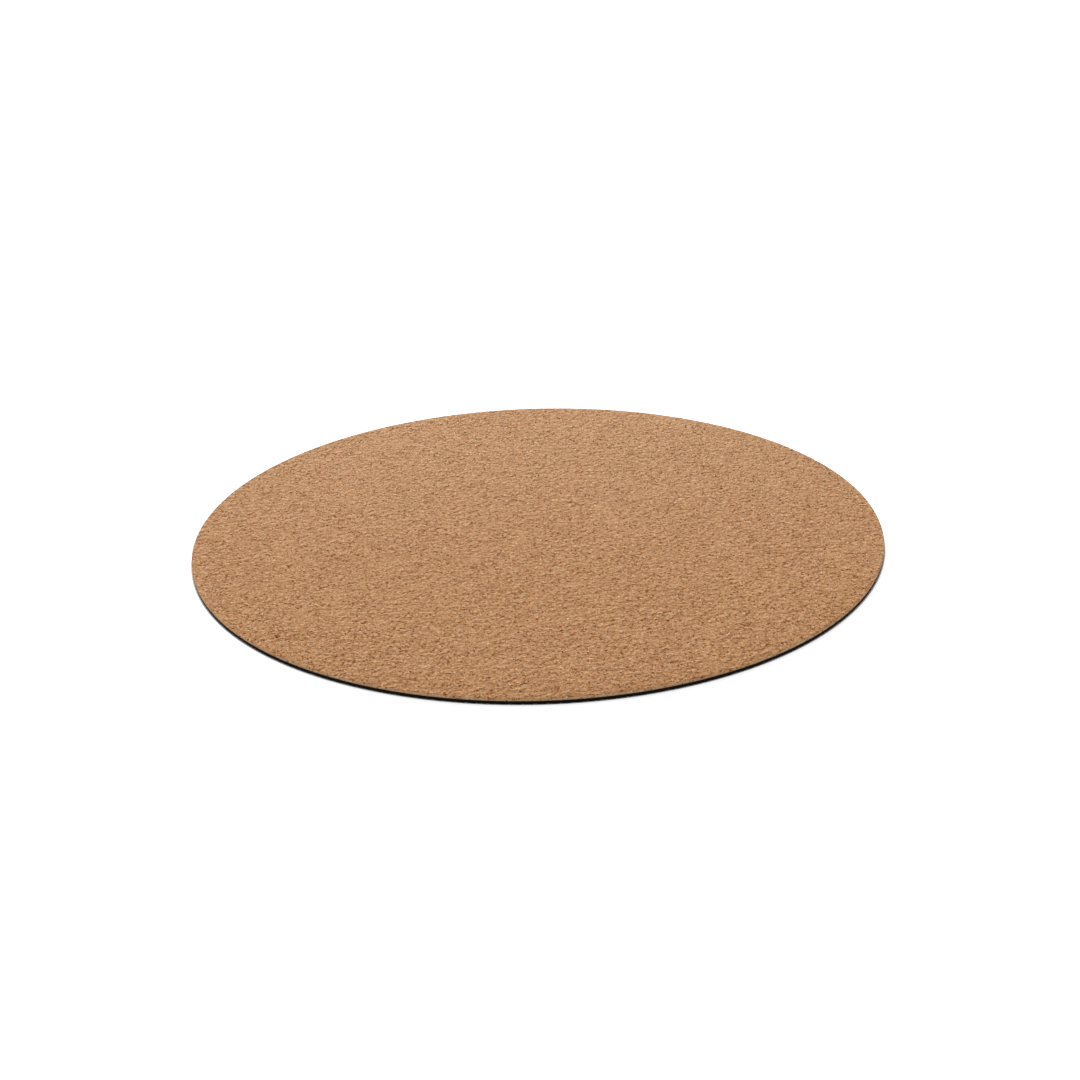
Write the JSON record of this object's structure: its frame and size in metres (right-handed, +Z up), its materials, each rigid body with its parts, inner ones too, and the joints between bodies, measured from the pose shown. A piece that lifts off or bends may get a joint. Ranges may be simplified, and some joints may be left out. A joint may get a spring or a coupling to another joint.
{
  "type": "mouse pad",
  "caption": "Round flat mouse pad: a thin cork sheet glued to a soft black rubber base with a lattice grip tread moulded in its underside.",
  "frame": {"origin": "middle of the underside, on the desk", "axes": "+Z up, square to the pad's face; seen as in the picture, +X to the right and +Y away from the viewer"},
  "size_m": [0.22, 0.22, 0.002],
  "materials": {
    "cork": "matt agglomerated cork, sanded",
    "adhesive": "thin hot-melt film",
    "rubber": "matt black soft rubber"
  },
  "bodies": {
    "root": {"cork_sheet": "cork", "adhesive_film": "adhesive", "rubber_base": "rubber"}
  },
  "joints": []
}
